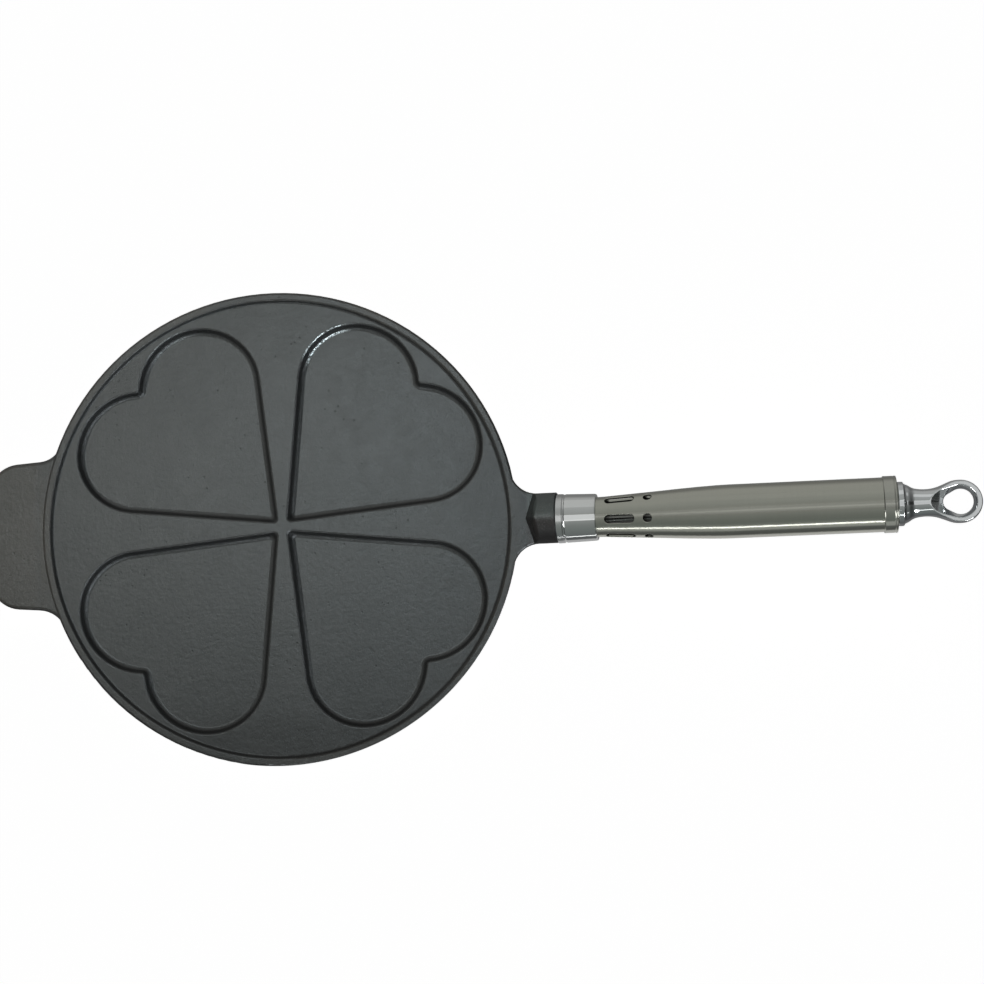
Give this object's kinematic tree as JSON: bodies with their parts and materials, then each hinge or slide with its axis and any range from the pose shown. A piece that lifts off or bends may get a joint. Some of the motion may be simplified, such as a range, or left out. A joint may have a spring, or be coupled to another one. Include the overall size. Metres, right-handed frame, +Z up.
{
  "type": "cast iron pancake pan",
  "caption": "Round cast iron pancake pan with heart-shaped wells, a helper tab and a vented steel handle ending in an unscrewable hanging loop.",
  "frame": {"origin": "centre of the plate's flat base", "axes": "+X from the plate's centre towards the handle, +Z up from the base to the cooking face, +Y completes the right-handed frame"},
  "size_m": [0.4707, 0.2302, 0.0613],
  "materials": {
    "iron": "fine matte seasoned casting",
    "polished_steel": "polished",
    "brushed_steel": "brushed along the handle",
    "plain_steel": "as machined"
  },
  "bodies": {
    "pan": {"pan_casting": "iron", "ferrule": "polished_steel", "jam_nut": "plain_steel", "tie_rod": "plain_steel", "front_bush": "plain_steel", "handle_tube": "brushed_steel", "end_cap": "brushed_steel"},
    "washer": {"spring_washer": "plain_steel"},
    "loop": {"hanging_loop": "polished_steel"}
  },
  "joints": [
    {"name": "washer_travel", "type": "slide", "parent": "pan", "child": "washer", "axis": [0.9781, 0, 0.2079], "range_m": [0, 0.008]},
    {"name": "loop_turn", "type": "hinge", "parent": "washer", "child": "loop", "pos_m": [0.2911, -0.0006, 0.04824], "axis": [0.9781, 0, 0.2079], "range_deg": [0, 2885]}
  ],
  "couplings": [
    {"joint": "loop_turn", "follows": "washer_travel", "rad_per_m": 6283.2}
  ]
}
